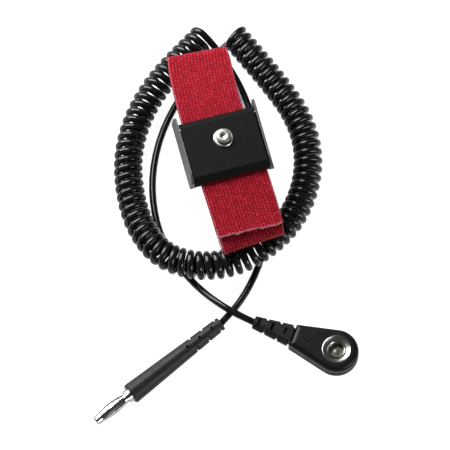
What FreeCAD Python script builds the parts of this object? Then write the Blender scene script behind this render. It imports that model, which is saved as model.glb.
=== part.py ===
import FreeCAD, Part
import math
import os

# ESD wrist strap, drawn as it lies on a bench.
# X runs across the band, Y along it towards the end of the loop that the cover's hinge faces.
# Every height is first given above the bench; ORIGIN_HEIGHT then moves the zero up to the stud.

V = FreeCAD.Vector
os.makedirs("parts", exist_ok=True)

# Driving dimensions, mm
ORIGIN_HEIGHT = 29.4      # middle of the stud's head above the bench

BAND_WIDTH = 22.8
BAND_CENTRE_X = 0.4
BAND_THICK = 1.5
LINING_THICK = 0.2
LINING_WIDTH = 22.2
FOLD_RADIUS = 2.2         # to the middle of the band's thickness

BUCKLE_CENTRE_X = -0.25
BASE_BOTTOM = 20.1
BASE_TOP = 21.3
BASE_HALF_WIDTH = 13.6    # to the rails' inner walls
BASE_FRONT_Y = -12.6
BASE_REAR_Y = 11.2
RAIL_THICK = 1.55
RAIL_DRAFT = 1.0          # the outer wall leans in by this much at the top
RAIL_FRONT_Y = -13.0
RAIL_REAR_Y = 12.2
RAIL_TOP = 28.2

COVER_HALF_WIDTH = 13.3
COVER_TOP = 28.0
COVER_THICK = 2.0
COVER_FRONT_Y = -13.8
BEVEL_LENGTH = 1.9
BEVEL_DEPTH = 2.2
LIP_BACK_Y = -10.4
TOOTH_DEPTH = 0.6
TOOTH_TIP = 24.97
HINGE_Y = 7.1
HINGE_RADIUS = 2.3
PIN_RADIUS = 0.8
PIN_PLAY = 0.05

STUD_FLANGE_RADIUS = 3.45
STUD_HEAD_RADIUS = 2.5
STUD_NECK_RADIUS = 2.15

WIRE_DIAMETER = 2.5
COIL_DIAMETER = 10.3
LEAD_HEIGHT = 1.25
COIL_HEIGHT = 5.15
COIL_RAISED = 7.7         # where the coil lies over a lead
ARC_SHARE = 0.45          # share of the shorter run that a bend may use


def at_origin(shape):
    """Move a shape from heights above the bench to the part's own frame."""
    moved = shape.copy()
    moved.translate(V(0, 0, -ORIGIN_HEIGHT))
    return moved


def export(name, shape):
    placed = at_origin(shape)
    placed.exportStep("parts/" + name + ".step")
    print("%-22s %9.1f mm3" % (name, placed.Volume))


def rounded_wire(points, radii):
    """Straight runs joined by tangent arcs; radii has one entry per inner point."""
    edges = []
    start = points[0]
    for index in range(1, len(points) - 1):
        corner = points[index]
        back = (points[index - 1] - corner).normalize()
        ahead = (points[index + 1] - corner).normalize()
        half_turn = (math.pi - back.getAngle(ahead)) / 2
        reach = radii[index - 1] * math.tan(half_turn)
        arc_start = corner + back * reach
        arc_end = corner + ahead * reach
        bisector = (back + ahead).normalize()
        depth = radii[index - 1] / math.cos(half_turn) - radii[index - 1]
        if (arc_start - start).Length > 1e-5:
            edges.append(Part.LineSegment(start, arc_start).toShape())
        edges.append(Part.Arc(arc_start, corner + bisector * depth, arc_end).toShape())
        start = arc_end
    edges.append(Part.LineSegment(start, points[-1]).toShape())
    return Part.Wire(edges)


def bend_radii(points):
    """The largest tangent arc that leaves each run a straight middle."""
    radii = []
    for index in range(1, len(points) - 1):
        back = points[index - 1] - points[index]
        ahead = points[index + 1] - points[index]
        half_turn = (math.pi - back.getAngle(ahead)) / 2
        shorter = min(back.Length, ahead.Length)
        radii.append(ARC_SHARE * shorter / math.tan(half_turn))
    return radii


def tube(label, route, diameter):
    """A round cord along a route of hand-placed points."""
    points = [V(*p) for p in route]
    radii = bend_radii(points)
    path = rounded_wire(points, radii)
    heading = (points[1] - points[0]).normalize()
    ring = Part.Wire([Part.makeCircle(diameter / 2, points[0], heading)])
    solid = path.makePipeShell([ring], True, True)
    if solid.Volume < 0:
        solid.reverse()
    expected = math.pi * diameter ** 2 / 4 * path.Length
    print("%s: %.1f mm long, volume %.3f of section x length, bend radii %s"
          % (label, path.Length, solid.Volume / expected, [round(r) for r in radii]))
    return solid


def strip(profile, radii, centre_x, width, thickness):
    """A flat strap of constant thickness along a path given as (y, height) points."""
    points = [V(centre_x, y, h) for y, h in profile]
    path = rounded_wire(points, radii)
    run = (points[1] - points[0]).normalize()
    across = V(width / 2, 0, 0)
    up = V(1, 0, 0).cross(run) * (thickness / 2)
    corners = [points[0] - across - up, points[0] + across - up,
               points[0] + across + up, points[0] - across + up]
    section = Part.makePolygon(corners + [corners[0]])
    solid = path.makePipeShell([section], True, True)
    if solid.Volume < 0:
        solid.reverse()
    expected = width * thickness * path.Length
    print("strip: %.1f mm long, volume %.3f of section x length"
          % (path.Length, solid.Volume / expected))
    return solid


def offset_profile(profile, radii, offset):
    """The same path moved sideways, with each corner's radius corrected to suit."""
    moved = []
    new_radii = []
    normals = []
    for (y0, h0), (y1, h1) in zip(profile, profile[1:]):
        length = math.hypot(y1 - y0, h1 - h0)
        normals.append(((h1 - h0) / length, -(y1 - y0) / length))
    for index, (y, h) in enumerate(profile):
        before = normals[max(index - 1, 0)]
        after = normals[min(index, len(normals) - 1)]
        scale = offset / (1 + before[0] * after[0] + before[1] * after[1])
        moved.append((y + (before[0] + after[0]) * scale, h + (before[1] + after[1]) * scale))
        if 0 < index < len(profile) - 1:
            turn = before[0] * after[1] - before[1] * after[0]
            shift = offset if turn > 0 else -offset
            new_radii.append(radii[index - 1] + shift)
    return moved, new_radii


def cylinder_x(radius, x0, x1, y, h):
    return Part.makeCylinder(radius, x1 - x0, V(x0, y, h), V(1, 0, 0))


def extrude_x(outline, x0, x1):
    """Extrude a closed (y, height) outline from x0 to x1."""
    corners = [V(x0, y, h) for y, h in outline]
    face = Part.Face(Part.makePolygon(corners + [corners[0]]))
    return face.extrude(V(x1 - x0, 0, 0))


def revolve_z(outline, x=0.0, y=0.0):
    """Turn a closed (radius, height) outline about a vertical axis."""
    corners = [V(x + r, y, h) for r, h in outline]
    face = Part.Face(Part.makePolygon(corners + [corners[0]]))
    return face.revolve(V(x, y, 0), V(0, 0, 1), 360)


# The band: an elastic strap that is riveted to the buckle's lower end, runs round the wrist,
# comes back in at the hinge end, passes under the cover and hangs out as a short tail.

FIXED_LEVEL = 22.1
THROUGH_LEVEL = 23.9
ENTRY_LEVEL = 22.3
UNDER_LEVEL = 13.65
FOLD_LEVEL = UNDER_LEVEL + 2 * FOLD_RADIUS
TAIL_END_LEVEL = 20.45

band_path = [(-33.0, TAIL_END_LEVEL), (-15.6, THROUGH_LEVEL), (-2.2, THROUGH_LEVEL),
             (3.4, ENTRY_LEVEL), (13.0, ENTRY_LEVEL), (37.35, FOLD_LEVEL),
             (37.35, UNDER_LEVEL), (-35.4, UNDER_LEVEL), (-35.4, FOLD_LEVEL),
             (-15.6, FIXED_LEVEL), (-3.0, FIXED_LEVEL)]
band_radii = [12.0, 6.0, 6.0, 12.0, FOLD_RADIUS, FOLD_RADIUS, FOLD_RADIUS, FOLD_RADIUS, 12.0]
band = strip(band_path, band_radii, BAND_CENTRE_X, BAND_WIDTH, BAND_THICK)

# The conductive inner face stops where the fixed end goes under the cover.
lining_path = band_path[:9] + [(-16.4, FIXED_LEVEL - 0.16)]
LINING_GAP = 0.02
lining_offset = (BAND_THICK + LINING_THICK) / 2 + LINING_GAP
lining_points, lining_radii = offset_profile(lining_path, band_radii[:8], lining_offset)
lining = strip(lining_points, lining_radii, BAND_CENTRE_X, LINING_WIDTH, LINING_THICK)

# Rivets that hold the fixed end and the contact plate to the buckle's base.
RIVET_Y = -8.0
RIVET_SPACING = 13.0
RIVET_SHANK_RADIUS = 1.0
PLATE_THICK = 0.4
PLATE_BOTTOM = BASE_BOTTOM - PLATE_THICK
FIXED_TOP = FIXED_LEVEL + BAND_THICK / 2

anchor_rivets = {}
rivet_pockets = []
for side, rivet_x in (("left", -RIVET_SPACING / 2), ("right", RIVET_SPACING / 2)):
    x = BUCKLE_CENTRE_X + rivet_x
    anchor_rivets[side] = revolve_z([
        (0, PLATE_BOTTOM), (1.5, PLATE_BOTTOM), (RIVET_SHANK_RADIUS, BASE_BOTTOM),
        (RIVET_SHANK_RADIUS, FIXED_TOP - 0.35),
        (1.9, FIXED_TOP - 0.35), (1.9, FIXED_TOP - 0.05), (0, FIXED_TOP - 0.05)], x, RIVET_Y)
    shank = Part.makeCylinder(RIVET_SHANK_RADIUS, 6.0, V(x, RIVET_Y, PLATE_BOTTOM - 1))
    head = Part.makeCylinder(1.9, 0.35, V(x, RIVET_Y, FIXED_TOP - 0.35))
    rivet_pockets.append((shank, head))
    clear_of_tail = shank.common(Part.makeBox(60, 60, FIXED_TOP, V(-30, -30, 0)))
    band = band.cut(clear_of_tail).cut(head)

# Contact plate: the stainless back that touches the wrist. The rivets are flush with it.
plate = Part.makeBox(23.0, 22.0, PLATE_THICK, V(BUCKLE_CENTRE_X - 11.5, -11.8, PLATE_BOTTOM))
plate = plate.makeFillet(2.0, [e for e in plate.Edges if abs(e.Length - PLATE_THICK) < 1e-6])
for rivet in anchor_rivets.values():
    plate = plate.cut(rivet)

# Buckle frame: base plate and two side rails.
rail_end = 3.0
rail_profile = extrude_x([(RAIL_FRONT_Y, BASE_BOTTOM + 1.0), (RAIL_FRONT_Y + 1.0, BASE_BOTTOM),
                          (RAIL_REAR_Y - 1.0, BASE_BOTTOM), (RAIL_REAR_Y, BASE_BOTTOM + 1.0),
                          (RAIL_REAR_Y, RAIL_TOP), (RAIL_FRONT_Y, RAIL_TOP)], -20, 20)
top_corners = [e for e in rail_profile.Edges
               if abs(e.Length - 40) < 1e-6 and abs(e.CenterOfMass.z - RAIL_TOP) < 1e-6]
rail_profile = rail_profile.makeFillet(rail_end, top_corners)


def rail(side):
    inner = BUCKLE_CENTRE_X + side * BASE_HALF_WIDTH
    outer = inner + side * RAIL_THICK
    leaning = outer - side * RAIL_DRAFT
    shoulder = RAIL_TOP - 0.5
    corners = [V(inner, -20, BASE_BOTTOM), V(outer, -20, BASE_BOTTOM),
               V(outer, -20, BASE_BOTTOM + 1.2), V(leaning + side * 0.25, -20, shoulder),
               V(leaning - side * 0.1, -20, RAIL_TOP), V(inner, -20, RAIL_TOP)]
    section = Part.Face(Part.makePolygon(corners + [corners[0]]))
    return section.extrude(V(0, 40, 0)).common(rail_profile)


base = Part.makeBox(2 * BASE_HALF_WIDTH, BASE_REAR_Y - BASE_FRONT_Y, BASE_TOP - BASE_BOTTOM,
                    V(BUCKLE_CENTRE_X - BASE_HALF_WIDTH, BASE_FRONT_Y, BASE_BOTTOM))
end_edges = [e for e in base.Edges if abs(e.Length - 2 * BASE_HALF_WIDTH) < 1e-6]
base = base.makeFillet(0.45, end_edges)
frame = base.fuse(rail(-1)).fuse(rail(1)).removeSplitter()
for shank, head in rivet_pockets:
    frame = frame.cut(shank)

# Hinge pin, tight in the rails and free in the cover.
HINGE_HEIGHT = COVER_TOP - HINGE_RADIUS
PIN_REACH = BASE_HALF_WIDTH + 0.75
pin = cylinder_x(PIN_RADIUS, BUCKLE_CENTRE_X - PIN_REACH, BUCKLE_CENTRE_X + PIN_REACH,
                 HINGE_Y, HINGE_HEIGHT)
frame = frame.cut(pin)

# Cover: a plate that swings on the pin and bites the band with a toothed lip.
underside = COVER_TOP - COVER_THICK
x_low = BUCKLE_CENTRE_X - COVER_HALF_WIDTH
x_high = BUCKLE_CENTRE_X + COVER_HALF_WIDTH
tooth_root = TOOTH_TIP + TOOTH_DEPTH
tooth_count = 4
lip_length = LIP_BACK_Y - COVER_FRONT_Y
teeth = []
for index in range(tooth_count):
    tip_y = COVER_FRONT_Y + (index + 0.5) * lip_length / tooth_count
    root_y = COVER_FRONT_Y + (index + 1) * lip_length / tooth_count
    teeth.append((tip_y, TOOTH_TIP))
    teeth.append((root_y, tooth_root))
cover_outline = [(HINGE_Y, COVER_TOP), (COVER_FRONT_Y + BEVEL_LENGTH, COVER_TOP),
                 (COVER_FRONT_Y, COVER_TOP - BEVEL_DEPTH), (COVER_FRONT_Y, tooth_root)]
cover_outline += teeth
cover_outline += [(LIP_BACK_Y + 0.3, underside), (HINGE_Y, underside)]
cover = extrude_x(cover_outline, x_low, x_high)


def edges_through(shape, y, height):
    """The edges along X that pass one (y, height) point."""
    return [e for e in shape.Edges
            if e.BoundBox.XLength > COVER_HALF_WIDTH
            and abs(e.CenterOfMass.y - y) < 1e-6 and abs(e.CenterOfMass.z - height) < 1e-6]


EDGE_ROUND = 0.35
front_edges = edges_through(cover, COVER_FRONT_Y + BEVEL_LENGTH, COVER_TOP)
cover = cover.makeFillet(2 * EDGE_ROUND, front_edges)
barrel = cylinder_x(HINGE_RADIUS, x_low, x_high, HINGE_Y, HINGE_HEIGHT)
cover = cover.fuse(barrel).removeSplitter()
envelope = Part.makeBox(x_high - x_low, 40, 12, V(x_low, -20, COVER_TOP - 12))
envelope_top = [e for e in envelope.Edges
                if e.BoundBox.YLength > 30 and e.BoundBox.ZMin > COVER_TOP - 1e-3]
cover = cover.common(envelope.makeFillet(EDGE_ROUND, envelope_top))
cover = cover.cut(cylinder_x(PIN_RADIUS + PIN_PLAY, x_low - 1, x_high + 1,
                             HINGE_Y, HINGE_HEIGHT))

# Snap stud on the cover, its rivet post, backing washer and contact leaf.
POST_RADIUS = 1.2
WASHER_THICK = 0.35
cover = cover.cut(Part.makeCylinder(POST_RADIUS, 6, V(0, 0, underside - 1)))
stud = revolve_z([
    (POST_RADIUS, COVER_TOP), (STUD_FLANGE_RADIUS, COVER_TOP),
    (STUD_FLANGE_RADIUS, COVER_TOP + 0.3), (3.2, COVER_TOP + 0.5),
    (STUD_NECK_RADIUS, COVER_TOP + 0.55), (STUD_NECK_RADIUS, COVER_TOP + 0.8),
    (STUD_HEAD_RADIUS, COVER_TOP + 1.0), (STUD_HEAD_RADIUS, COVER_TOP + 2.0),
    (2.3, COVER_TOP + 2.3), (1.8, COVER_TOP + 2.45), (POST_RADIUS, COVER_TOP + 2.45)])
post = revolve_z([
    (0, underside - 0.75), (1.9, underside - 0.65), (1.9, underside - WASHER_THICK),
    (POST_RADIUS, underside - WASHER_THICK), (POST_RADIUS, COVER_TOP + 2.2),
    (0.75, COVER_TOP + 2.1), (0.6, COVER_TOP + 1.5), (0, COVER_TOP + 1.4)])
washer = Part.makeCylinder(3.2, WASHER_THICK, V(0, 0, underside - WASHER_THICK))
washer = washer.cut(Part.makeCylinder(POST_RADIUS, 2, V(0, 0, underside - 1)))

# Cord routes, taken as hand-placed points (x, y, height above the bench).
coil_route = [(15.8, 45.4, 5.15), (19.8, 36.6, 5.15), (25.3, 23.6, 5.15), (29.7, 10.8, 5.15),
              (30.4, -2.3, 5.15), (26.3, -15.6, 5.15), (17.8, -27.3, 6.2), (6.8, -34.7, 7.7),
              (-6.2, -38.6, 7.7), (-19.6, -36.4, 7.7), (-30.3, -29.1, 7.6),
              (-34.7, -16.7, 5.9), (-35.0, -3.3, 5.15), (-32.1, 11.0, 5.15),
              (-25.0, 23.7, 5.3), (-15.7, 33.2, 6.6), (-4.9, 40.4, 7.7), (4.9, 46.3, 7.7)]
snap_lead_route = [(17.9, 46.3, 1.25), (11.3, 43.1, 1.25), (0.9, 36.2, 1.25),
                   (-9.6, 27.7, 1.25), (-18.8, 16.5, 1.25), (-25.1, 3.6, 1.25),
                   (-27.9, -8.6, 1.25), (-28.2, -20.4, 1.25), (-25.2, -31.8, 1.25),
                   (-20.0, -42.6, 1.25), (-14.6, -51.3, 4.9), (-9.6, -56.5, 4.9),
                   (-5.0, -59.9, 3.5)]
plug_lead_route = [(3.1, 49.6, 11.1), (8.1, 41.6, 8.2), (11.9, 33.4, 2.6), (14.0, 25.0, 1.25),
                   (14.7, 13.4, 1.25), (14.1, 0.4, 1.25), (12.0, -13.6, 1.25),
                   (8.6, -26.6, 1.25), (3.4, -38.2, 1.25), (-4.2, -47.6, 1.25),
                   (-10.6, -53.1, 1.3), (-16.4, -57.5, 3.9)]

coil = tube("coil", coil_route, COIL_DIAMETER)
lead_to_snap = tube("snap lead", snap_lead_route, WIRE_DIAMETER)
lead_to_plug = tube("plug lead", plug_lead_route, WIRE_DIAMETER)


def along(start, end, shape):
    """Lay a shape that was built along +X so that it starts at one point and aims at another."""
    angle = math.degrees(math.atan2(end[1] - start[1], end[0] - start[0]))
    placed = shape.copy()
    placed.rotate(V(0, 0, 0), V(0, 0, 1), angle)
    placed.translate(V(start[0], start[1], 0))
    return placed


def cone_x(x0, r0, x1, r1, h):
    return Part.makeCone(r0, r1, x1 - x0, V(x0, 0, h), V(1, 0, 0))


def notched_relief(length, r0, r1, h, bore, slots, slot_length, window):
    """A tapered sleeve. Each slot is (start, place): cut from both sides or from top and bottom."""
    body = cone_x(0, r0, length, r1, h)
    body = body.cut(Part.makeCylinder(bore, length + 2, V(-1, 0, h), V(1, 0, 0)))
    for x, place in slots:
        radius = r0 + (r1 - r0) * x / length
        keep = max(bore + 0.25, 0.6 * radius)
        if place == "sides":
            cutter = Part.makeBox(slot_length, 12, 12, V(x, keep, h - 6))
            other = Part.makeBox(slot_length, 12, 12, V(x, -12 - keep, h - 6))
        else:
            cutter = Part.makeBox(slot_length, 2 * window, 12, V(x, -window, h + keep))
            other = Part.makeBox(slot_length, 2 * window, 12, V(x, -window, h - 12 - keep))
        body = body.cut(cutter).cut(other)
    return body


# Snap connector: a two-part moulded housing that holds the socket and the safety resistor.
SNAP_START = (-5.0, -59.9)
SNAP_AIM = (19.67, -77.86)
SNAP_AXIS_HEIGHT = 3.5
SNAP_RELIEF_LENGTH = 14.3
SNAP_SOCKET_X = 30.5
SNAP_ROUND_RADIUS = 7.7
SNAP_NECK_HALF = 4.1
SNAP_BOTTOM = 0.15
SNAP_SPLIT = 3.4
SNAP_TOP = 6.6

snap_slots = [(1.4, "faces"), (3.8, "sides"), (6.3, "faces"), (8.7, "sides"), (11.1, "faces"),
              (13.3, "sides")]
snap_relief = notched_relief(SNAP_RELIEF_LENGTH, 2.3, 4.05, SNAP_AXIS_HEIGHT, 1.27, snap_slots,
                             1.0, 1.3)
snap_relief = snap_relief.common(Part.makeBox(40, 40, SNAP_TOP - 0.2 - SNAP_BOTTOM,
                                              V(-10, -20, SNAP_BOTTOM)))

lean = math.asin((SNAP_ROUND_RADIUS - SNAP_NECK_HALF) / (SNAP_SOCKET_X - SNAP_RELIEF_LENGTH))
touch_x = SNAP_SOCKET_X - SNAP_ROUND_RADIUS * math.sin(lean)
touch_y = SNAP_ROUND_RADIUS * math.cos(lean)


def teardrop(bottom, top):
    corners = [V(SNAP_RELIEF_LENGTH, -SNAP_NECK_HALF, bottom), V(touch_x, -touch_y, bottom),
               V(touch_x, touch_y, bottom), V(SNAP_RELIEF_LENGTH, SNAP_NECK_HALF, bottom)]
    edges = [Part.LineSegment(corners[0], corners[1]).toShape(),
             Part.Arc(corners[1], V(SNAP_SOCKET_X + SNAP_ROUND_RADIUS, 0, bottom),
                      corners[2]).toShape(),
             Part.LineSegment(corners[2], corners[3]).toShape(),
             Part.LineSegment(corners[3], corners[0]).toShape()]
    return Part.Face(Part.Wire(edges)).extrude(V(0, 0, top - bottom))


def flat_edges(shape, height):
    return [e for e in shape.Edges
            if abs(e.BoundBox.ZMin - height) < 1e-6 and abs(e.BoundBox.ZMax - height) < 1e-6]


UPPER_FILLET = 1.9
lower_shell = teardrop(SNAP_BOTTOM, SNAP_SPLIT)
lower_shell = lower_shell.makeFillet(0.7, flat_edges(lower_shell, SNAP_BOTTOM))
upper_shell = teardrop(SNAP_SPLIT, SNAP_TOP)
upper_shell = upper_shell.makeFillet(UPPER_FILLET, flat_edges(upper_shell, SNAP_TOP))
upper_shell = upper_shell.makeChamfer(0.22, flat_edges(upper_shell, SNAP_SPLIT))
lower_shell = lower_shell.makeChamfer(0.22, flat_edges(lower_shell, SNAP_SPLIT))

SOCKET_FLANGE_RADIUS = 5.05
SOCKET_BORE_RADIUS = 2.6
SOCKET_CUP_RADIUS = 3.6
SOCKET_FLOOR = 3.9
socket = revolve_z([
    (SOCKET_BORE_RADIUS, SNAP_TOP - 0.1), (SOCKET_BORE_RADIUS, SNAP_TOP - 1.2),
    (3.25, SNAP_TOP - 1.3), (3.25, SOCKET_FLOOR + 0.3), (0.7, SOCKET_FLOOR + 0.3),
    (0.7, SOCKET_FLOOR), (SOCKET_CUP_RADIUS, SOCKET_FLOOR),
    (SOCKET_CUP_RADIUS, SNAP_TOP - 0.7), (SOCKET_FLANGE_RADIUS, SNAP_TOP - 0.3),
    (SOCKET_FLANGE_RADIUS, SNAP_TOP + 0.25), (4.8, SNAP_TOP + 0.35),
    (4.4, SNAP_TOP + 0.1), (3.3, SNAP_TOP - 0.35), (2.95, SNAP_TOP + 0.15)], SNAP_SOCKET_X)
socket_seat = revolve_z([
    (0, SOCKET_FLOOR), (SOCKET_CUP_RADIUS, SOCKET_FLOOR), (SOCKET_CUP_RADIUS, SNAP_TOP - 0.7),
    (SOCKET_FLANGE_RADIUS, SNAP_TOP - 0.3), (SOCKET_FLANGE_RADIUS, SNAP_TOP + 1),
    (0, SNAP_TOP + 1)], SNAP_SOCKET_X)
spring = Part.makeTorus(2.93, 0.27, V(SNAP_SOCKET_X, 0, 4.75), V(0, 0, 1))

# Inside the housing: resistor, its leads, and the tag riveted under the socket.
RESISTOR_START = 17.0
RESISTOR_LENGTH = 6.3
RESISTOR_RADIUS = 1.15
resistor = Part.makeCylinder(RESISTOR_RADIUS, RESISTOR_LENGTH,
                             V(RESISTOR_START, 0, SNAP_SPLIT), V(1, 0, 0))
resistor_pocket = Part.makeCylinder(RESISTOR_RADIUS, RESISTOR_LENGTH,
                                    V(RESISTOR_START, 0, SNAP_SPLIT), V(1, 0, 0))
LEAD_WIRE_RADIUS = 0.3
TAG_START = 24.8
rear_lead = Part.makeCylinder(LEAD_WIRE_RADIUS, RESISTOR_START - SNAP_RELIEF_LENGTH - 0.2,
                              V(SNAP_RELIEF_LENGTH + 0.2, 0, SNAP_SPLIT), V(1, 0, 0))
front_lead = Part.makeCylinder(LEAD_WIRE_RADIUS, TAG_START - RESISTOR_START - RESISTOR_LENGTH,
                               V(RESISTOR_START + RESISTOR_LENGTH, 0, SNAP_SPLIT), V(1, 0, 0))
tag = Part.makeBox(SNAP_SOCKET_X - TAG_START, 3.0, 0.4, V(TAG_START, -1.5, 3.1))
tag = tag.fuse(Part.makeCylinder(2.4, 0.4, V(SNAP_SOCKET_X, 0, 3.1)))
tag = tag.cut(Part.makeCylinder(0.7, 2, V(SNAP_SOCKET_X, 0, 2.5)))
tag = tag.cut(front_lead).removeSplitter()
socket_rivet = revolve_z([
    (0, 2.8), (1.3, 2.9), (1.3, 3.1), (0.7, 3.1), (0.7, SOCKET_FLOOR + 0.3),
    (1.3, SOCKET_FLOOR + 0.3), (1.2, SOCKET_FLOOR + 0.5), (0, SOCKET_FLOOR + 0.6)],
    SNAP_SOCKET_X)
spacer_gap = Part.makeCylinder(2.4, SOCKET_FLOOR - 3.1, V(SNAP_SOCKET_X, 0, 3.1))
hollow = [resistor_pocket, rear_lead, front_lead, tag, socket_rivet, spacer_gap]
for tool in hollow:
    lower_shell = lower_shell.cut(tool)
    upper_shell = upper_shell.cut(tool)
upper_shell = upper_shell.cut(socket_seat)

# A plain chevron pressed into the top face, where a finger squeezes the snap open.
CHEVRON_DEPTH = 0.25
CHEVRON_HALF = 1.5
CHEVRON_RISE = 1.35
CHEVRON_LINE = 0.65
chevron_outline = [(0, 0), (CHEVRON_HALF, CHEVRON_RISE), (CHEVRON_HALF, CHEVRON_RISE + CHEVRON_LINE),
                   (0, CHEVRON_LINE), (-CHEVRON_HALF, CHEVRON_RISE + CHEVRON_LINE),
                   (-CHEVRON_HALF, CHEVRON_RISE), (0, 0)]
chevron = Part.Face(Part.makePolygon([V(x, y, 0) for x, y in chevron_outline]))
chevron = chevron.extrude(V(0, 0, 1))
chevron.rotate(V(0, 0, 0), V(0, 0, 1), 21)
chevron.translate(V(20.4, -1.4, SNAP_TOP - CHEVRON_DEPTH))
upper_shell = upper_shell.cut(chevron)

# Banana plug: notched relief, tapered grip, collar, core pin and four-leaf spring.
PLUG_START = (-16.4, -57.5)
PLUG_AIM = (-67.2, -80.74)
PLUG_AXIS_HEIGHT = 3.9
PLUG_RELIEF_LENGTH = 12.9
GRIP_END = 40.4
COLLAR_END = 42.2
PLUG_TIP = 55.8

plug_slots = [(0.8, "sides"), (3.5, "faces"), (6.3, "sides"), (8.9, "faces"), (11.6, "sides")]
plug_relief = notched_relief(PLUG_RELIEF_LENGTH, 2.45, 2.85, PLUG_AXIS_HEIGHT, 1.27, plug_slots,
                             0.95, 0.6)
grip = cone_x(PLUG_RELIEF_LENGTH, 2.85, GRIP_END - 0.4, 3.75, PLUG_AXIS_HEIGHT)
grip = grip.fuse(cone_x(GRIP_END - 0.4, 3.75, GRIP_END, 3.4, PLUG_AXIS_HEIGHT))
grip = grip.removeSplitter()
BARREL_START = 30.0
barrel_sleeve = Part.makeCylinder(1.6, GRIP_END - BARREL_START,
                                  V(BARREL_START, 0, PLUG_AXIS_HEIGHT), V(1, 0, 0))
wire_core = Part.makeCylinder(0.5, BARREL_START + 4 - PLUG_RELIEF_LENGTH,
                              V(PLUG_RELIEF_LENGTH, 0, PLUG_AXIS_HEIGHT), V(1, 0, 0))
grip = grip.cut(barrel_sleeve).cut(wire_core)
for above in (1, -1):
    window = Part.makeBox(0.95, 1.2, 1.4, V(14.3, -0.6, PLUG_AXIS_HEIGHT + above * 2.6 - 0.7))
    grip = grip.cut(window)
solder_barrel = barrel_sleeve.cut(wire_core)
collar = Part.makeCylinder(2.4, COLLAR_END - GRIP_END,
                           V(GRIP_END, 0, PLUG_AXIS_HEIGHT), V(1, 0, 0))
core = Part.makeCylinder(0.9, PLUG_TIP - 0.4 - COLLAR_END,
                         V(COLLAR_END, 0, PLUG_AXIS_HEIGHT), V(1, 0, 0))

# The spring's outline: (distance along the plug, outer radius)
leaf_outline = [(COLLAR_END, 1.75), (COLLAR_END + 1.2, 1.8), (COLLAR_END + 3.2, 2.12),
                (COLLAR_END + 5.4, 2.3), (COLLAR_END + 7.6, 2.22), (COLLAR_END + 9.8, 1.95),
                (PLUG_TIP - 2.2, 1.72), (PLUG_TIP - 0.4, 1.72), (PLUG_TIP, 1.4)]
LEAF_THICK = 0.3
SLOT_WIDTH = 0.7


def along_axis(outline):
    corners = [V(x, 0, PLUG_AXIS_HEIGHT + r) for x, r in outline]
    face = Part.Face(Part.makePolygon(corners + [corners[0]]))
    return face.revolve(V(0, 0, PLUG_AXIS_HEIGHT), V(1, 0, 0), 360)


leaf_inner = [(x, r - LEAF_THICK) for x, r in leaf_outline[:-2]]
tip_inner = [(PLUG_TIP - 0.4, 1.72 - LEAF_THICK), (PLUG_TIP - 0.4, 0), (PLUG_TIP, 0)]
leaves = along_axis(leaf_outline + tip_inner[::-1] + leaf_inner[::-1])
for turn in (0, 90):
    slot = Part.makeBox(PLUG_TIP - COLLAR_END - 3.6, SLOT_WIDTH, 6,
                        V(COLLAR_END + 1.2, -SLOT_WIDTH / 2, PLUG_AXIS_HEIGHT - 3))
    slot.rotate(V(0, 0, PLUG_AXIS_HEIGHT), V(1, 0, 0), turn + 45)
    leaves = leaves.cut(slot)

# Write one file per piece.
wristband = {
    "band": band, "band_lining": lining, "buckle_frame": frame, "contact_plate": plate,
    "hinge_pin": pin, "anchor_rivet_left": anchor_rivets["left"],
    "anchor_rivet_right": anchor_rivets["right"], "buckle_cover": cover, "snap_stud": stud,
    "stud_post": post, "stud_washer": washer}
snap_end = {
    "snap_strain_relief": snap_relief, "snap_housing_lower": lower_shell,
    "snap_housing_upper": upper_shell, "snap_socket": socket, "socket_spring": spring,
    "socket_rivet": socket_rivet, "socket_tag": tag, "resistor": resistor,
    "resistor_lead_rear": rear_lead, "resistor_lead_front": front_lead}
plug_end = {
    "plug_strain_relief": plug_relief, "plug_grip": grip, "plug_solder_barrel": solder_barrel,
    "plug_wire_core": wire_core, "plug_collar": collar, "plug_core_pin": core,
    "plug_spring": leaves}
cords = {"coil": coil, "lead_to_snap": lead_to_snap, "lead_to_plug": lead_to_plug}

for name, shape in wristband.items():
    export(name, shape)
for name, shape in cords.items():
    export(name, shape)
for name, shape in snap_end.items():
    export(name, along(SNAP_START, SNAP_AIM, shape))
for name, shape in plug_end.items():
    export(name, along(PLUG_START, PLUG_AIM, shape))
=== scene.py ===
# %% [markdown]
# # An ESD wrist strap lying on a bench
# The strap is an elastic band held by a small lever buckle with a snap stud on it. It lies on
# the loop of its own curly cord, which has a snap socket on one end and a banana plug on the
# other. The CAD model is loaded as a fixed frame, and each step below dresses one piece of it.
# Everything is in metres, in the CAD model's own frame, so no piece has to be moved to fit.

# %% Load the frame
import math

import bmesh
import bpy
from mathutils import Matrix, Vector, noise


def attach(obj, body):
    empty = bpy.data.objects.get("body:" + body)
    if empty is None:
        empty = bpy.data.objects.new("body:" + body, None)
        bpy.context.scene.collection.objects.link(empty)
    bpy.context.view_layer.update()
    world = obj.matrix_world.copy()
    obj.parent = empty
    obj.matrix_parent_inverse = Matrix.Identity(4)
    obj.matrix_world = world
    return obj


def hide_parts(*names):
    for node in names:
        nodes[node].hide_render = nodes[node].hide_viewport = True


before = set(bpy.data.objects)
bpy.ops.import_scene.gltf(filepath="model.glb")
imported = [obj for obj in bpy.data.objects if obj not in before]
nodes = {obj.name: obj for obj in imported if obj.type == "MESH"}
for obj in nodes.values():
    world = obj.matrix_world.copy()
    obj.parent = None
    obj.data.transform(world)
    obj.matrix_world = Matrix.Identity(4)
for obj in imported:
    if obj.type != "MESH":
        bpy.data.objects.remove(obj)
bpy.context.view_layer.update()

MM = 0.001
ORIGIN_HEIGHT = 29.4          # millimetres from the bench up to the stud, the frame's origin
BENCH = -ORIGIN_HEIGHT * MM
print("frame loaded:", len(nodes), "nodes")


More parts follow.
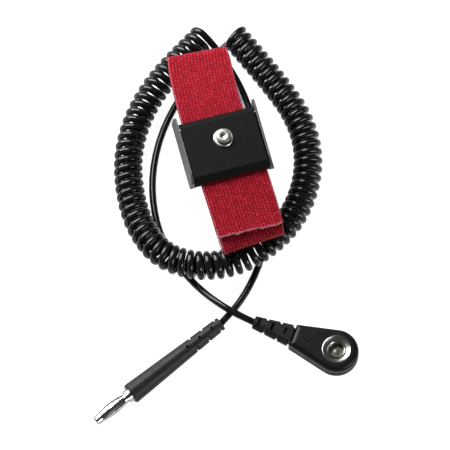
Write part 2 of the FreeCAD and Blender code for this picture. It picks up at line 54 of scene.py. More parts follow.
# %% [markdown]
# ## Camera
# The viewer stands over the bench at 70 degrees, turned 15 degrees from the band's own length.
# A long lens from a metre and a half keeps the sides of the buckle nearly parallel. A view that
# is 158 mm wide at that distance takes in the whole strap with its cord.

# %% Camera
VIEW_AZIMUTH = math.radians(15)
VIEW_HEIGHT = math.radians(70)
VIEW_DISTANCE = 1.5
VIEW_WIDTH = 0.1579
VIEW_TARGET = Vector((-5.13, -21.33, -ORIGIN_HEIGHT)) * MM
SENSOR_WIDTH = 36.0

lens = bpy.data.cameras.new("bench_camera")
lens.sensor_width = SENSOR_WIDTH
lens.lens = SENSOR_WIDTH * VIEW_DISTANCE / VIEW_WIDTH
lens.clip_start = 0.01
camera = bpy.data.objects.new("bench_camera", lens)
bpy.context.scene.collection.objects.link(camera)
view_back = Vector((-math.sin(VIEW_AZIMUTH) * math.cos(VIEW_HEIGHT),
                    -math.cos(VIEW_AZIMUTH) * math.cos(VIEW_HEIGHT),
                    math.sin(VIEW_HEIGHT)))
camera.location = VIEW_TARGET + view_back * VIEW_DISTANCE
camera.rotation_euler = view_back.to_track_quat("Z", "Y").to_euler()
bpy.context.scene.camera = camera
print("camera at", [round(c, 3) for c in camera.location])


# %% [markdown]
# ## The curly cord's routes
# A curly cord is one thin wire. It leaves the snap connector, is wound into a tight coil, and
# runs on to the plug. Three routes say where it lies: the coil's centre line and the two leads,
# as loose as they fell. Their points are given one by one, as one would bend the wire, and the
# CAD model has the same ones.

# %% Routes in millimetres: x, y, height above the bench
coil_route = [(15.8, 45.4, 5.15), (19.8, 36.6, 5.15), (25.3, 23.6, 5.15), (29.7, 10.8, 5.15),
              (30.4, -2.3, 5.15), (26.3, -15.6, 5.15), (17.8, -27.3, 6.2), (6.8, -34.7, 7.7),
              (-6.2, -38.6, 7.7), (-19.6, -36.4, 7.7), (-30.3, -29.1, 7.6),
              (-34.7, -16.7, 5.9), (-35.0, -3.3, 5.15), (-32.1, 11.0, 5.15),
              (-25.0, 23.7, 5.3), (-15.7, 33.2, 6.6), (-4.9, 40.4, 7.7), (4.9, 46.3, 7.7)]
snap_lead_route = [(11.3, 43.1, 1.25), (0.9, 36.2, 1.25), (-9.6, 27.7, 1.25),
                   (-18.8, 16.5, 1.25), (-25.1, 3.6, 1.25), (-27.9, -8.6, 1.25),
                   (-28.2, -20.4, 1.25), (-25.2, -31.8, 1.25), (-20.0, -42.6, 1.25),
                   (-14.6, -51.3, 4.9), (-9.6, -56.5, 4.9), (-5.0, -59.9, 3.5)]
plug_lead_route = [(8.1, 41.6, 8.2), (11.9, 33.4, 2.6), (14.0, 25.0, 1.25),
                   (14.7, 13.4, 1.25), (14.1, 0.4, 1.25), (12.0, -13.6, 1.25),
                   (8.6, -26.6, 1.25), (3.4, -38.2, 1.25), (-4.2, -47.6, 1.25),
                   (-10.6, -53.1, 1.3), (-16.4, -57.5, 3.9)]


def from_bench(point):
    """A point in millimetres above the bench, in the frame's metres."""
    return Vector((point[0], point[1], point[2] - ORIGIN_HEIGHT)) * MM


print("routes: %d points for the coil, %d and %d for the leads"
      % (len(coil_route), len(snap_lead_route), len(plug_lead_route)))


# %% [markdown]
# ## Smooth lines
# A NURBS spline of order 3 passes near its control points in one unbroken curve, which is how a
# springy wire lies. The order is set once the points are there, or Blender keeps straight runs.
# Each point's radius is half the wire, so that a bevel depth of 1 gives the wire's thickness.

# %% Draw a line and measure it
WIRE = 2.5 * MM


def smooth_line(name, points, steps):
    """One open, smooth NURBS spline that follows its control points."""
    curve = bpy.data.curves.new(name, "CURVE")
    curve.dimensions = "3D"
    curve.resolution_u = steps
    spline = curve.splines.new("NURBS")
    spline.points.add(len(points) - 1)
    for knot, point in zip(spline.points, points):
        knot.co = (*point, 1.0)
        knot.radius = WIRE / 2
    spline.order_u = 3
    spline.use_endpoint_u = True
    piece = bpy.data.objects.new(name, curve)
    bpy.context.scene.collection.objects.link(piece)
    return piece


def points_along(piece):
    """The points that a curve with no bevel is drawn through."""
    bpy.context.view_layer.update()
    drawn = bpy.data.meshes.new_from_object(piece.evaluated_get(
        bpy.context.evaluated_depsgraph_get()))
    line = [v.co.copy() for v in drawn.vertices]
    bpy.data.meshes.remove(drawn)
    return line


def lengths_along(line):
    """How far each point of a line is from its start."""
    reach = [0.0]
    for before, after in zip(line, line[1:]):
        reach.append(reach[-1] + (after - before).length)
    return reach


def span_at(reach, distance):
    """Which span of a line a distance falls in, by its end point, and the share of it passed."""
    index = 1
    while index < len(reach) - 1 and reach[index] < distance:
        index += 1
    return index, (distance - reach[index - 1]) / (reach[index] - reach[index - 1])


# %% [markdown]
# ## The coil's centre line
# The coil could be one fat tube, as it is in the CAD model, but then its turns would be painted
# on. So the centre line is drawn first, read back as points, and thrown away: only the turns
# that go round it are kept.

# %% The coil's centre line
CENTRE_STEPS = 40
centre_piece = smooth_line("coil_centre", [from_bench(p) for p in coil_route], CENTRE_STEPS)
centre_line = points_along(centre_piece)
bpy.data.objects.remove(centre_piece)
centre_reach = lengths_along(centre_line)
print("coil centre line: %.1f mm, %d points" % (centre_reach[-1] / MM, len(centre_line)))


# %% [markdown]
# ## Winding the turns
# Each turn is 16 points round the centre line. The coil is wound like a right-hand screw, so
# one lead leaves it along the bench and the other leaves it over the top. A slow wobble in the
# radius and in the pitch keeps the coil from looking machined.

# %% Wind the coil
TURNS = 73.5
POINTS_PER_TURN = 16
WIND_RADIUS = 4.0 * MM       # a little over the real 3.9, because the smooth line cuts inside
START_ANGLE = -math.pi / 2   # the first turn begins underneath
RADIUS_WOBBLE = 0.012        # share of the radius
PITCH_WOBBLE = 0.25 * MM
WOBBLES_PER_METRE = 55.0


def place_at(line, reach, distance):
    """Position and heading at a distance along a line."""
    index, share = span_at(reach, distance)
    heading = line[min(index + 1, len(line) - 1)] - line[max(index - 2, 0)]
    return line[index - 1].lerp(line[index], share), heading.normalized()


def wobble(distance, seed):
    """A slow drift between about -1 and 1, the same every time for one seed."""
    return noise.noise(Vector((distance * WOBBLES_PER_METRE, seed, 0.37)))


turn_points = []
turn_steps = int(TURNS * POINTS_PER_TURN)
for step in range(turn_steps + 1):
    along = centre_reach[-1] * step / turn_steps
    place, heading = place_at(centre_line, centre_reach, along)
    side = Vector((0, 0, 1)).cross(heading).normalized()
    up = heading.cross(side)
    angle = START_ANGLE + TURNS * 2 * math.pi * step / turn_steps
    radius = WIND_RADIUS * (1 + RADIUS_WOBBLE * wobble(along, 3.1))
    shift = PITCH_WOBBLE * wobble(along, 8.4)
    turn_points.append(place + side * (math.cos(angle) * radius)
                       + up * (math.sin(angle) * radius) + heading * shift)
print("coil: %.1f turns, pitch %.2f mm" % (TURNS, centre_reach[-1] / TURNS / MM))

# %% [markdown]
# ## One wire from end to end
# The two leads join the first and the last turn, and the whole wire is one smooth line with a
# round section. The line runs from the snap connector to the plug, and its length is the length
# of wire that would be cut for it.

# %% The whole cord
WIRE_STEPS = 3
wire_route = [from_bench(p) for p in reversed(snap_lead_route)]
wire_route += turn_points
wire_route += [from_bench(p) for p in plug_lead_route]
curly_cord = smooth_line("curly_cord", wire_route, WIRE_STEPS)
drawn_length = lengths_along(points_along(curly_cord))[-1]
curly_cord.data.bevel_depth = 1.0      # times each point's radius, which is half the wire
curly_cord.data.bevel_resolution = 4
curly_cord.data.use_fill_caps = True
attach(curly_cord, "cord_set")
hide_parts("coil", "lead_to_snap", "lead_to_plug")
tuple(from_bench(snap_lead_route[-1]))


# %% [markdown]
# ## Materials
# Every finish is made of noise, waves and simple maths, so it has no picture behind it. A small
# helper adds a shader node and sets its inputs, which keeps each finish short enough to read.
# Values that are the same all over are set on the shader's own sockets, so they are exported.

# %% Helpers for materials
def new_finish(name, colour, roughness, metallic=0.0):
    """A material with its main shader's plain values set on the shader's own sockets."""
    finish = bpy.data.materials.new(name)
    finish.use_nodes = True
    shader = finish.node_tree.nodes["Principled BSDF"]
    shader.inputs["Base Color"].default_value = (*colour, 1)
    shader.inputs["Roughness"].default_value = roughness
    shader.inputs["Metallic"].default_value = metallic
    return finish, shader


def add_node(finish, kind, **values):
    """Add a node; plain names set its settings, and a dict called inputs sets its sockets."""
    made = finish.node_tree.nodes.new(kind)
    for key, value in values.get("inputs", {}).items():
        made.inputs[key].default_value = value
    for key, value in values.items():
        if key != "inputs":
            setattr(made, key, value)
    return made


def wire_up(finish, out_socket, in_socket):
    """Join one node's output to another node's input."""
    finish.node_tree.links.new(out_socket, in_socket)


def grey(value):
    """The same value for red, green and blue."""
    return (value, value, value)


def dress(piece, finish):
    """Give a piece one finish and nothing else."""
    piece.data.materials.clear()
    piece.data.materials.append(finish)
    print("%-20s wears %s" % (piece.name, finish.name))


# %% [markdown]
# ## Unevenness
# Real surfaces are never one flat value. Noise fixed to the object gives a value between 0 and 1
# at every point. A ramp turns that into colours or roughness, and a bump node into fine relief.

# %% Noise, ramp and bump
def ramp(finish, source, stops):
    """Colours or greys along a 0 to 1 value: stops are (place, colour)."""
    made = add_node(finish, "ShaderNodeValToRGB")
    elements = made.color_ramp.elements
    while len(elements) < len(stops):
        elements.new(0.5)
    for element, (place, colour) in zip(elements, stops):
        element.position = place
        element.color = (*colour, 1)
    wire_up(finish, source, made.inputs["Fac"])
    return made.outputs["Color"]


def object_noise(finish, scale, detail=3.0, roughness=0.55, stretch=(1, 1, 1)):
    """Noise fixed to the object, so many units per metre."""
    where = add_node(finish, "ShaderNodeTexCoord")
    spread = add_node(finish, "ShaderNodeMapping", inputs={"Scale": stretch})
    wire_up(finish, where.outputs["Object"], spread.inputs["Vector"])
    made = add_node(finish, "ShaderNodeTexNoise",
                    inputs={"Scale": scale, "Detail": detail, "Roughness": roughness})
    wire_up(finish, spread.outputs["Vector"], made.inputs["Vector"])
    return made.outputs["Fac"]


def add_bump(finish, shader, height, distance, strength=1.0):
    """Fine relief: height is 0 to 1, and distance is its depth in metres."""
    made = add_node(finish, "ShaderNodeBump",
                    inputs={"Distance": distance, "Strength": strength})
    wire_up(finish, height, made.inputs["Height"])
    wire_up(finish, made.outputs["Normal"], shader.inputs["Normal"])


# %% [markdown]
# ## Moulded black plastic
# The buckle is a hard plastic with a fine spark-eroded texture: dark, matt and a little uneven in
# gloss where fingers rub it. Its frame is painted a lighter grey than its cover, painted light
# that stands for the lamp's light on the rails' walls. The snap connector is a softer, smoother
# black, with a duller underside and strain relief. The plug's grip is greyer again. One recipe
# makes them all; only colour, gloss and grain differ.

# %% Plastics
FINE_GRAIN = 5200.0          # grains per metre
SOFT_GRAIN = 3600.0
GRAIN_DEPTH = 0.00004
GRAIN_STRENGTH = 0.6
RUBBED_PATCHES = 260.0       # patches per metre
MOTTLE = 900.0


def moulded_plastic(name, colour, roughness, gloss, grain, depth=GRAIN_DEPTH):
    """Black plastic, uneven in gloss and shade, with a moulded grain."""
    finish, shader = new_finish(name, colour, roughness)
    shader.inputs["Specular IOR Level"].default_value = gloss
    patches = object_noise(finish, RUBBED_PATCHES, 4.0)
    wire_up(finish, ramp(finish, patches, [(0.3, grey(roughness - 0.07)),
                                           (0.7, grey(roughness + 0.08))]),
            shader.inputs["Roughness"])
    dark = tuple(c * 0.8 for c in colour)
    light = tuple(c * 1.35 for c in colour)
    wire_up(finish, ramp(finish, object_noise(finish, MOTTLE, 5.0),
                         [(0.35, dark), (0.7, light)]), shader.inputs["Base Color"])
    add_bump(finish, shader, object_noise(finish, grain, 2.0), depth, GRAIN_STRENGTH)
    return finish


buckle_plastic = moulded_plastic("buckle_plastic", (0.0015, 0.0016, 0.0015), roughness=0.5,
                                 gloss=0.055, grain=FINE_GRAIN)
# Painted light: the frame's black is set far lighter than the cover's, standing for the light on
# the left rail's wall.
lit_frame_plastic = moulded_plastic("lit_frame_plastic", grey(0.024), roughness=0.42, gloss=0.42,
                                grain=FINE_GRAIN)
connector_skin = moulded_plastic("connector_skin", grey(0.0025), roughness=0.36, gloss=0.10,
                                 grain=SOFT_GRAIN)
shell_skin = moulded_plastic("shell_skin", grey(0.0065), roughness=0.5, gloss=0.06,
                             grain=SOFT_GRAIN)
plug_skin = moulded_plastic("plug_skin", grey(0.0085), roughness=0.42, gloss=0.11,
                            grain=SOFT_GRAIN, depth=0.00005)
dress(nodes["buckle_cover"], buckle_plastic)
dress(nodes["buckle_frame"], lit_frame_plastic)
dress(nodes["snap_housing_upper"], connector_skin)
for node_name in ("snap_strain_relief", "snap_housing_lower"):
    dress(nodes[node_name], shell_skin)
for node_name in ("plug_strain_relief", "plug_grip"):
    dress(nodes[node_name], plug_skin)

# %% [markdown]
# ## The cord's jacket
# The jacket is smooth polyurethane, nearly black, and glossy enough to show the lamps as short
# bright streaks on every turn. Handling leaves it faintly uneven, so the roughness drifts and a
# very shallow bump breaks the streaks a little.

# %% Cord jacket
cord_jacket, jacket_shader = new_finish("cord_jacket", (0.004, 0.004, 0.0042), roughness=0.15)
jacket_shader.inputs["Specular IOR Level"].default_value = 0.2
handled = object_noise(cord_jacket, 420.0, 4.0)
wire_up(cord_jacket, ramp(cord_jacket, handled, [(0.3, grey(0.11)), (0.7, grey(0.19))]),
        jacket_shader.inputs["Roughness"])
add_bump(cord_jacket, jacket_shader, object_noise(cord_jacket, 900.0, 2.0),
         distance=0.00002, strength=0.06)
dress(curly_cord, cord_jacket)

# %% [markdown]
# ## Metals
# The stud, the socket and the plug with its spring are nickel plated: bright and slightly warm,
# with fine scratches. The contact plate, the hinge pin, the rivets, the stud's washer and the
# socket's ring spring are stainless steel, brushed across the strap. Inside the connectors, the
# rivet, the tag and the solder barrel are brass, and the bare wires are tinned. The resistor has
# a tan lacquer.

# %% Metals
SCRATCHES = 1800.0           # per metre
SCRATCH_DEPTH = 0.000006
STAINS = 350.0


def plated(name, colour, roughness, stretch=(1, 1, 1)):
    """A metal with fine scratches, drawn out as the stretch says, and faint stains."""
    finish, shader = new_finish(name, colour, roughness, metallic=1.0)
    scratches = object_noise(finish, SCRATCHES, 5.0, 0.7, stretch)
    wire_up(finish, ramp(finish, scratches, [(0.35, grey(max(roughness - 0.05, 0.05))),
                                             (0.75, grey(roughness + 0.08))]),
            shader.inputs["Roughness"])
    stain = object_noise(finish, STAINS, 4.0)
    wire_up(finish, ramp(finish, stain, [(0.3, tuple(c * 0.82 for c in colour)),
                                         (0.65, colour)]), shader.inputs["Base Color"])
    add_bump(finish, shader, scratches, SCRATCH_DEPTH, 0.25)
    return finish


nickel = plated("nickel_plate", (0.285, 0.283, 0.266), roughness=0.33)
stainless = plated("brushed_stainless", (0.55, 0.55, 0.56), roughness=0.32, stretch=(0.08, 1, 1))
brass_metal = plated("inner_brass", (0.22, 0.19, 0.13), roughness=0.3)
tinned = plated("tinned_wire", grey(0.68), roughness=0.3)
# Painted shade: the socket's nickel is a darker copy of the stud's, standing for the shade in its
# dished cup.
shaded_socket_nickel = plated("shaded_socket_plate", (0.21, 0.21, 0.20), roughness=0.30)
# Painted light: the plug's nickel is a lighter copy of the stud's, standing for the lamps' light
# on it; its lower roughness is its own polish.
lit_plug_nickel = plated("lit_plug_nickel", (0.34, 0.338, 0.325), roughness=0.16)
resistor_lacquer, resistor_shader = new_finish("resistor_lacquer", (0.50, 0.40, 0.26), 0.25)
add_bump(resistor_lacquer, resistor_shader, object_noise(resistor_lacquer, 1400.0), 0.00002)
for metal, node_names in (
        (nickel, ("snap_stud", "stud_post")),
        (shaded_socket_nickel, ("snap_socket",)),
        (lit_plug_nickel, ("plug_collar", "plug_core_pin", "plug_spring")),
        (stainless, ("contact_plate", "hinge_pin", "anchor_rivet_left", "anchor_rivet_right",
                     "stud_washer", "socket_spring")),
        (brass_metal, ("socket_rivet", "socket_tag", "plug_solder_barrel")),
        (tinned, ("resistor_lead_rear", "resistor_lead_front", "plug_wire_core")),
        (resistor_lacquer, ("resistor",))):
    for node_name in node_names:
        dress(nodes[node_name], metal)


# %% [markdown]
# ## The band
# The band is a narrow elastic, woven double, with raised cords running along it and three
# heavier cords at each edge. It is drawn as a loft: one smooth line for each edge, a row of
# points across from edge to edge at every step, and each point pushed out by the height of the
# cord it lies on. Two separate edge lines let the band lean, widen and fold a little askew, as
# a real one does. A simulation would only wipe out the cords, so the shape is placed directly.

# %% The band's edges: x left, x right, y left, y right, height above the bench
band_stations = [
    (-10.5, 12.5, -32.7, -33.2, 20.9), (-11.0, 12.6, -28.0, -28.2, 21.7),
    (-11.6, 12.1, -15.6, -15.6, 23.9), (-11.8, 11.5, -2.2, -2.2, 23.9),
    (-12.0, 10.5, 3.4, 3.4, 22.3), (-12.3, 9.9, 13.0, 13.0, 22.3),
    (-11.9, 10.3, 24.0, 24.0, 20.4), (-11.3, 11.1, 32.5, 31.6, 18.9),
    (-10.2, 10.6, 38.1, 36.8, 18.1), (-10.2, 10.6, 38.1, 36.8, 13.65),
    (-9.8, 11.0, 32.0, 31.0, 13.65), (-9.8, 11.0, 22.0, 22.0, 13.65),
    (-10.0, 12.3, 11.0, 11.0, 13.65), (-10.3, 12.6, -15.0, -15.0, 13.65),
    (-10.3, 12.8, -31.5, -30.2, 13.65), (-9.9, 12.2, -36.4, -34.7, 13.65),
    (-9.9, 12.2, -36.4, -34.7, 17.9), (-10.4, 12.7, -31.0, -30.0, 18.6),
    (-10.8, 12.1, -15.6, -15.6, 22.1), (-11.0, 11.9, -3.0, -3.0, 22.1)]
EDGE_STEPS = 60
ROW_STEP = 0.32 * MM


def even_rows(left_line, right_line, step):
    """Matching points on two edge lines, about one step apart along the band."""
    middle = [a.lerp(b, 0.5) for a, b in zip(left_line, right_line)]
    reach = lengths_along(middle)
    rows = int(reach[-1] / step)
    picked = []
    for row in range(rows + 1):
        distance = reach[-1] * row / rows
        index, share = span_at(reach, distance)
        picked.append((left_line[index - 1].lerp(left_line[index], share),
                       right_line[index - 1].lerp(right_line[index], share), distance))
    return picked


edge_lines = []
for column in (0, 1):
    stations = [from_bench((s[column], s[2 + column], s[4])) for s in band_stations]
    edge_piece = smooth_line("band_edge", stations, EDGE_STEPS)
    edge_lines.append(points_along(edge_piece))
    bpy.data.objects.remove(edge_piece)
band_rows = even_rows(edge_lines[0], edge_lines[1], ROW_STEP)
band_length = band_rows[-1][2]
print("band: %.1f mm long, %d rows" % (band_length / MM, len(band_rows)))

# %% [markdown]
# ## The cords of the weave
# Across the band there are 20 cords. The three outermost on each side are thicker. Each cord
# swells and narrows along its length where the cross threads bind it, half a step out from its
# neighbour, which is what makes the surface look knitted.

# %% Weave
CORDS = 20
EDGE_CORDS = 3
CORD_HEIGHT = 0.10 * MM
EDGE_CORD_HEIGHT = 0.16 * MM
STITCH = 0.90 * MM


def cord_height(across, distance):
    """Height of the weave above the band's flat face; across runs from 0 to 1."""
    cord = min(int(across * CORDS), CORDS - 1)
    inside = across * CORDS - cord
    is_edge = cord < EDGE_CORDS or cord >= CORDS - EDGE_CORDS
    tall = EDGE_CORD_HEIGHT if is_edge else CORD_HEIGHT
    phase = math.pi if cord % 2 else 0.0
    bound = 0.7 + 0.3 * math.cos(2 * math.pi * distance / STITCH + phase)
    uneven = 1 + 0.35 * noise.noise(Vector((cord * 3.7, distance / MM * 0.35, 1.9)))
    return tall * math.sin(math.pi * inside) ** 0.7 * bound * uneven


print("weave: %d cords, a stitch every %.2f mm" % (CORDS, STITCH / MM))

# %% [markdown]
# ## The tail's end
# The cut end of the tail has lost its grip on the layer below: it arches up in the middle and
# its two corners lie down. Its threads are cut, so they fray and stick out by uneven amounts.
# Both are worked out from the distance to the cut, and fade to nothing a few millimetres in.

# %% Shape of the tail's end
TAIL_REACH = 7.0 * MM
TAIL_ARCH = 0.9 * MM
FRAY_REACH = 1.3 * MM
FRAY = 0.55 * MM


def tail_lift(share, distance):
    """How far the tail's end rises from the layer below it."""
    if distance >= TAIL_REACH:
        return 0.0
    fade = 1 - distance / TAIL_REACH
    arch = math.sin(math.pi * share) ** 2 * (0.75 + 0.5 * math.sin(2.6 * math.pi * share + 0.8))
    return TAIL_ARCH * fade * fade * arch


def fray(share, distance):
    """How far the cut threads stick out past the tail's end."""
    if distance >= FRAY_REACH:
        return 0.0
    coarse = noise.noise(Vector((share * 23.0, 4.1, 0.6)))
    fine = noise.noise(Vector((share * 61.0, 1.7, 2.2)))
    return FRAY * (coarse + 0.6 * fine) * (1 - distance / FRAY_REACH)


# %% [markdown]
# ## Lofting a strip
# Each row becomes a ring of points round the strip's section: across the face that shows, then
# back across the face that doesn't. Neighbouring rings are joined by quads, and the two ends are
# closed, so the strip is a solid. Every point also stores its own place on the band, across and
# along, because the yarn's pattern has to follow the folds.

# %% Loft
SAMPLES_PER_CORD = 5
PLAIN_COLUMNS = 24


def band_frame(rows, index):
    """Directions at a row: across, out of the face that shows, and along the band."""
    ahead = rows[min(index + 1, len(rows) - 1)]
    behind = rows[max(index - 1, 0)]
    heading = (ahead[0] + ahead[1] - behind[0] - behind[1]).normalized()
    across = (rows[index][1] - rows[index][0]).normalized()
    return across, across.cross(heading).normalized(), heading


def strip_points(rows, index, columns, faces, margin, woven):
    """The points of one ring, each with its place on the band in millimetres."""
    left, right, distance = rows[index]
    across, out, heading = band_frame(rows, index)
    width = (right - left).length
    for face, offset in faces:
        order = range(columns + 1) if face == 1 else range(columns, -1, -1)
        for column in order:
            share = column / columns
            height = cord_height(share, distance) * face if woven else 0.0
            spot = left.lerp(right, share) - heading * fray(share, distance)
            spot += across * (margin * (1 - 2 * share))
            spot += out * (offset + height + tail_lift(share, distance))
            yield spot, (share * width / MM, distance / MM, abs(2 * share - 1))


def woven_strip(name, rows, inner, outer, margin, woven):
    """A closed strip between two distances from the band's middle surface."""
    columns = CORDS * SAMPLES_PER_CORD if woven else PLAIN_COLUMNS
    shell = bmesh.new()
    place_layer = shell.verts.layers.float_vector.new("band_place")
    rings = []
    for index in range(len(rows)):
        ring = []
        for spot, place in strip_points(rows, index, columns, ((1, outer), (-1, inner)),
                                        margin, woven):
            vert = shell.verts.new(spot)
            vert[place_layer] = place
            ring.append(vert)
        rings.append(ring)
    for ring, following in zip(rings, rings[1:]):
        for k in range(len(ring)):
            after = (k + 1) % len(ring)
            shell.faces.new((ring[k], ring[after], following[after], following[k]))
    last = len(rings[0]) - 1
    for ring, flip in ((rings[0], True), (rings[-1], False)):
        for k in range(columns):
            quad = (ring[k], ring[k + 1], ring[last - 1 - k], ring[last - k])
            shell.faces.new(quad[::-1] if flip else quad)
    bmesh.ops.recalc_face_normals(shell, faces=shell.faces)
    return finished_piece(name, shell)


def finished_piece(name, shell):
    """Put a worked mesh into the scene as a smooth-shaded piece."""
    mesh = bpy.data.meshes.new(name)
    shell.to_mesh(mesh)
    shell.free()
    for polygon in mesh.polygons:
        polygon.use_smooth = True
    piece = bpy.data.objects.new(name, mesh)
    bpy.context.scene.collection.objects.link(piece)
    print(name, len(mesh.polygons), "faces")
    return piece


# %% [markdown]
# ## The band and its lining
# The lining is the face that touches the skin: a thin, plain sheet on the band's inner side. A
# gap of a fiftieth of a millimetre keeps the two from sharing a surface, and the lining stops
# short of the end that is hidden in the buckle.

# %% Weave the band and its lining
BAND_THICK = 1.5 * MM
LINING_GAP = 0.02 * MM
LINING_THICK = 0.18 * MM
LINING_INSET = 0.02 * MM
LINING_STOPS_SHORT = 14.0 * MM
knit_band = woven_strip("knit_band", band_rows, -BAND_THICK / 2 + CORD_HEIGHT,
                        BAND_THICK / 2 - CORD_HEIGHT, 0.0, True)
lining_rows = [row for row in band_rows if row[2] < band_length - LINING_STOPS_SHORT]
lining_outer = -BAND_THICK / 2 - LINING_GAP
band_lining = woven_strip("silver_lining", lining_rows, lining_outer - LINING_THICK,
                          lining_outer, LINING_INSET, False)

# %% [markdown]
# ## Where a yarn lies
# A pattern that followed the room would slide through the folds. These helpers read the place
# that each point of the band stores, and do the arithmetic that a weave needs.

# %% Helpers for yarn
def band_place(finish, stretch=(1, 1, 1)):
    """The distance across and along the band, in millimetres, stretched as asked."""
    where = add_node(finish, "ShaderNodeAttribute", attribute_name="band_place")
    spread = add_node(finish, "ShaderNodeMapping", inputs={"Scale": stretch})
    wire_up(finish, where.outputs["Vector"], spread.inputs["Vector"])
    return spread.outputs["Vector"]


def apart(finish):
    """The three numbers that each point of the band stores, as separate outputs."""
    made = add_node(finish, "ShaderNodeSeparateXYZ")
    wire_up(finish, band_place(finish), made.inputs["Vector"])
    return made.outputs


def place_noise(finish, stretch, scale, detail=3.0):
    """Noise fixed to the band's own length and width."""
    made = add_node(finish, "ShaderNodeTexNoise", inputs={"Scale": scale, "Detail": detail})
    wire_up(finish, band_place(finish, stretch), made.inputs["Vector"])
    return made.outputs["Fac"]


def set_or_wire(finish, socket, value):
    """Give a socket a plain number or colour, or join another node's output to it."""
    if isinstance(value, bpy.types.NodeSocket):
        wire_up(finish, value, socket)
    elif isinstance(value, tuple):
        socket.default_value = (*value, 1)
    else:
        socket.default_value = value


def mixed(finish, share, first, second):
    """Mix two colours; share, first and second are sockets or plain values."""
    made = add_node(finish, "ShaderNodeMix", data_type="RGBA")
    for number, value in ((0, share), (6, first), (7, second)):
        set_or_wire(finish, made.inputs[number], value)
    return made.outputs[2]


def maths(finish, operation, first, second=0.0):
    """One step of arithmetic; each value is a socket or a plain number."""
    made = add_node(finish, "ShaderNodeMath", operation=operation)
    for socket, value in zip(made.inputs, (first, second)):
        set_or_wire(finish, socket, value)
    return made.outputs["Value"]


# %% [markdown]
# ## Stitches
# Seen close, each cord is a row of small knots. Two waves make them: one across the band, with a
# hump for each cord, and one along it, with a hump for each stitch. Every second cord is half a
# stitch out of step, and a slow slip along the band keeps the rows from lining up perfectly.

# %% Stitches
BAND_WIDTH = 22.9             # millimetres
CORD_PITCH = BAND_WIDTH / CORDS
SLIP = 2.2                    # stitches


def humps(finish, count):
    """A row of rounded humps from 0 to 1, one for each whole number."""
    return maths(finish, "ABSOLUTE", maths(finish, "SINE",
                                           maths(finish, "MULTIPLY", count, math.pi)))


def stitches(finish):
    """1 on the top of each stitch and 0 in the hollows."""
    place = apart(finish)
    cord = maths(finish, "DIVIDE", place["X"], CORD_PITCH)
    ridge = humps(finish, cord)
    half_step = maths(finish, "MULTIPLY", maths(finish, "FLOOR", cord), 0.5)
    slip = maths(finish, "MULTIPLY", place_noise(finish, (1, 1, 1), 0.5, 1.0), SLIP)
    along = maths(finish, "ADD", maths(finish, "DIVIDE", place["Y"], STITCH / MM), half_step)
    knot = humps(finish, maths(finish, "ADD", along, slip))
    return maths(finish, "MULTIPLY", maths(finish, "POWER", ridge, 0.6),
                 maths(finish, "POWER", knot, 0.7))


# %% [markdown]
# ## The band's yarn
# Dyed red yarn with paler and darker filaments at random. Knots, fibres and fluff are added into
# one height, which gives both the colour and the relief. The colour carries painted shade, deep
# red in the hollows between the knots, and a painted highlight, light red on the knots, over the
# fibres' own random tone. Where the threads are cut, the undyed core shows; the stitches at the
# very edge are painted pale on their tops, a painted highlight. The inside is grey, with
# silver-coated thread, and has the same painted shade and highlight.

# %% Yarn finishes
KNIT_SHARE = 0.38
FIBRE_SHARE = 0.62
FLUFF_SHARE = 0.2
YARN_RELIEF = 0.0003


def cut_core_and_edge_highlight(finish, knit, fibres):
    """How much pale colour shows: the undyed core at the tail's frayed end, and a painted
    highlight on the tops of the edge stitches.
    """
    place = apart(finish)
    ragged = maths(finish, "ADD", place["Y"], maths(finish, "MULTIPLY", fibres, 1.1))
    frayed = ramp(finish, ragged, [(0.62, grey(0.75)), (0.98, grey(0.0))])
    # Painted highlight: the tops of the stitches at the band's very edge are painted pale.
    edge_highlight_zone = ramp(finish, place["Z"], [(0.93, grey(0.0)), (0.985, grey(0.62))])
    edge_stitch_highlight = maths(finish, "MULTIPLY", edge_highlight_zone, maths(finish, "POWER", knit, 1.5))
    return maths(finish, "MAXIMUM", frayed, edge_stitch_highlight)


def yarn(name, dark_fibre_and_hollow_shade, main, light, roughness, core_and_highlight_colour=None):
    """Stitched yarn with painted shade in the hollows and a painted highlight on the knots; a cut
    colour is the undyed core at the cut end and a painted highlight on the edge stitches.
    """
    finish, shader = new_finish(name, main, roughness)
    shader.inputs["Sheen Weight"].default_value = 0.05
    shader.inputs["Sheen Roughness"].default_value = 0.4
    shader.inputs["Specular IOR Level"].default_value = 0.08
    knit = stitches(finish)
    fibres = place_noise(finish, (1.0, 0.7, 1.0), 1.9, 4.0)
    fluff = place_noise(finish, (1.0, 1.0, 1.0), 0.45, 2.0)
    height = maths(finish, "ADD", maths(finish, "MULTIPLY", knit, KNIT_SHARE),
                   maths(finish, "ADD", maths(finish, "MULTIPLY", fibres, FIBRE_SHARE),
                         maths(finish, "MULTIPLY", fluff, FLUFF_SHARE)))
    # Painted shade and highlight: low heights, the hollows between knots, get the deep colour and
    # high ones, the knot tops, the light colour, mixed with the fibres' random tone.
    shade = ramp(finish, height, [(0.38, dark_fibre_and_hollow_shade), (0.66, main), (0.92, light)])
    if core_and_highlight_colour:
        shade = mixed(finish, cut_core_and_edge_highlight(finish, knit, fibres), shade, core_and_highlight_colour)
    wire_up(finish, shade, shader.inputs["Base Color"])
    add_bump(finish, shader, height, YARN_RELIEF, 0.7)
    return finish


# The deep colours are painted shade in the hollows and the light colours painted highlights on
# the knots, besides darker and paler fibres.
red_yarn = yarn("red_yarn", dark_fibre_and_hollow_shade=(0.064, 0.0003, 0.0018), main=(0.152, 0.0012, 0.0064),
                light=(0.312, 0.021, 0.038), roughness=0.85, core_and_highlight_colour=(0.345, 0.115, 0.135))
silver_yarn = yarn("silver_yarn", dark_fibre_and_hollow_shade=(0.14, 0.14, 0.15), main=(0.38, 0.38, 0.40),
                   light=(0.70, 0.70, 0.72), roughness=0.55)
dress(knit_band, red_yarn)
dress(band_lining, silver_yarn)

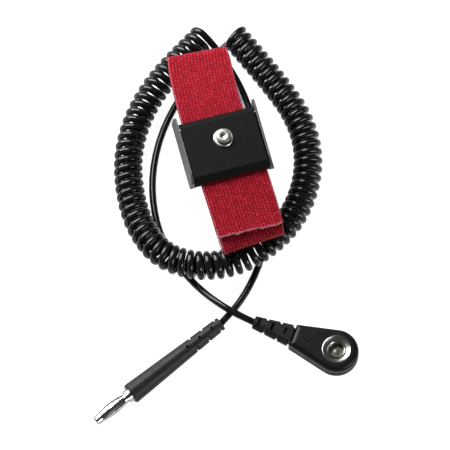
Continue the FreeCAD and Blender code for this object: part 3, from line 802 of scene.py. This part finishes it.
# %% [markdown]
# ## Which CAD pieces the cloth stands for
# The band and its lining ride on the wristband, and hide the plain CAD solids that hold their
# place. The band is one strip, folded on itself.

# %% Ride and replace
for piece, node_name, slot_name in ((knit_band, "band", "band"),
                                    (band_lining, "band_lining", "lining")):
    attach(piece, "wristband")
    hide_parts(node_name)


# %% [markdown]
# ## Bench
# A plain pale bench. It glows of its own, as a lit white table does, so that hardly any shadow
# falls beside the cord. It is part of the stage, not of the strap.

# %% Floor
FLOOR_SIZE = 3.0
half_floor = FLOOR_SIZE / 2
floor_mesh = bpy.data.meshes.new("bench_top")
floor_mesh.from_pydata([(-half_floor, -half_floor, BENCH), (half_floor, -half_floor, BENCH),
                        (half_floor, half_floor, BENCH), (-half_floor, half_floor, BENCH)],
                       [], [(0, 1, 2, 3)])
bench_top = bpy.data.objects.new("bench_top", floor_mesh)
bpy.context.scene.collection.objects.link(bench_top)
bench_white, bench_shader = new_finish("bench_white", grey(0.25), roughness=0.9)
bench_shader.inputs["Emission Color"].default_value = (1, 1, 1, 1)
bench_shader.inputs["Emission Strength"].default_value = 0.94
bench_shader.inputs["Specular IOR Level"].default_value = 0.1
dress(bench_top, bench_white)

# %% [markdown]
# ## Light
# A dim even room, and two soft lamps. The long one stands behind and to the left and slopes
# down towards the bench, so each turn of the coil carries a bright streak. The smaller one
# stands in front to the right and gives the second, fainter streak. A strip of light that is
# long in one direction is what makes a streak on a round wire and not a spot.

# %% Lamps and room
AIM = Vector((-0.005, -0.02, -0.03))


def add_light(name, place, long_way, size, power):
    """A rectangular lamp that faces the strap, with its long side turned the long way."""
    lamp = bpy.data.lights.new(name, "AREA")
    lamp.shape = "RECTANGLE"
    lamp.size, lamp.size_y = size
    lamp.energy = power
    light = bpy.data.objects.new(name, lamp)
    light.location = place
    back = (Vector(place) - AIM).normalized()
    side = Vector(long_way)
    side = (side - back * side.dot(back)).normalized()
    light.rotation_euler = Matrix((side, back.cross(side), back)).transposed().to_euler()
    bpy.context.scene.collection.objects.link(light)
    print("%s: %.2f x %.2f m, %.0f W" % (name, *size, power))


add_light("long_softbox", place=(-0.321, 0.463, 0.42), long_way=(-0.794, 0.047, -0.607),
          size=(0.87, 0.5), power=25)
add_light("front_softbox", place=(0.468, -0.604, 0.243), long_way=(0.768, 0.380, -0.515),
          size=(0.6, 0.22), power=6)
world = bpy.data.worlds.new("studio")
world.use_nodes = True
world.node_tree.nodes["Background"].inputs["Color"].default_value = (1, 1, 1, 1)
world.node_tree.nodes["Background"].inputs["Strength"].default_value = 0.12
bpy.context.scene.world = world
bpy.context.scene.view_settings.view_transform = "Standard"

# %% [markdown]
# ## Update
# The scene is brought up to date once every piece is in place. Dressing a piece is meant not to
# make the strap larger.

# %% Update
bpy.context.view_layer.update()
